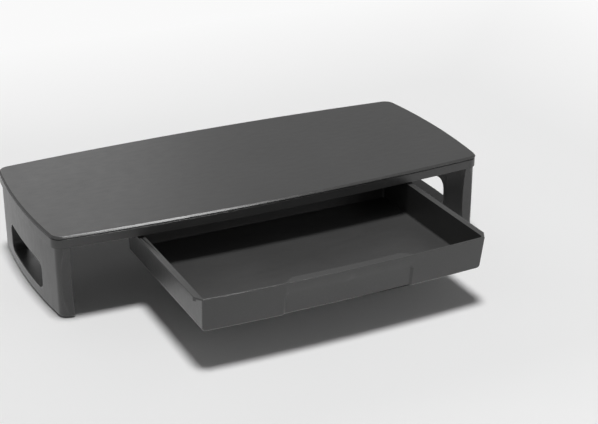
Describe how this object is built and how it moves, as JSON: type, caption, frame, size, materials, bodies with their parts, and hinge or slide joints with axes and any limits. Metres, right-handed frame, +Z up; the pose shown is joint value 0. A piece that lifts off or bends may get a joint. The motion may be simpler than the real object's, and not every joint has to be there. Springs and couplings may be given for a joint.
{
  "type": "monitor stand with drawer",
  "caption": "Wide low desk stand: bowed platform on two side legs with windows, and a shallow drawer that slides out underneath.",
  "frame": {"origin": "centre of the platform's top face, at mid width and mid depth", "axes": "+X to the right along the width, +Y to the back, +Z up out of the top face; the drawer opens along -Y"},
  "size_m": [0.5998, 0.4445, 0.108],
  "materials": {
    "platform_plastic": "fine-textured, satin",
    "leg_plastic": "fine-textured, satin",
    "drawer_plastic": "fine-textured, satin",
    "rail_plastic": "smooth",
    "rubber": "matt",
    "screw_steel": "zinc plated"
  },
  "bodies": {
    "stand": {"platform": "platform_plastic", "leg_shell_left": "leg_plastic", "leg_cover_left": "leg_plastic", "rail_left": "rail_plastic", "foot_front_left": "rubber", "foot_rear_left": "rubber", "leg_screws_left": "screw_steel", "rail_screws_left": "screw_steel", "leg_shell_right": "leg_plastic", "leg_cover_right": "leg_plastic", "rail_right": "rail_plastic", "foot_front_right": "rubber", "foot_rear_right": "rubber", "leg_screws_right": "screw_steel", "rail_screws_right": "screw_steel"},
    "drawer": {"drawer": "drawer_plastic"}
  },
  "joints": [
    {"name": "drawer_slide", "type": "slide", "parent": "stand", "child": "drawer", "axis": [0, -1, 0], "range_m": [-0.181, 0.008]}
  ]
}
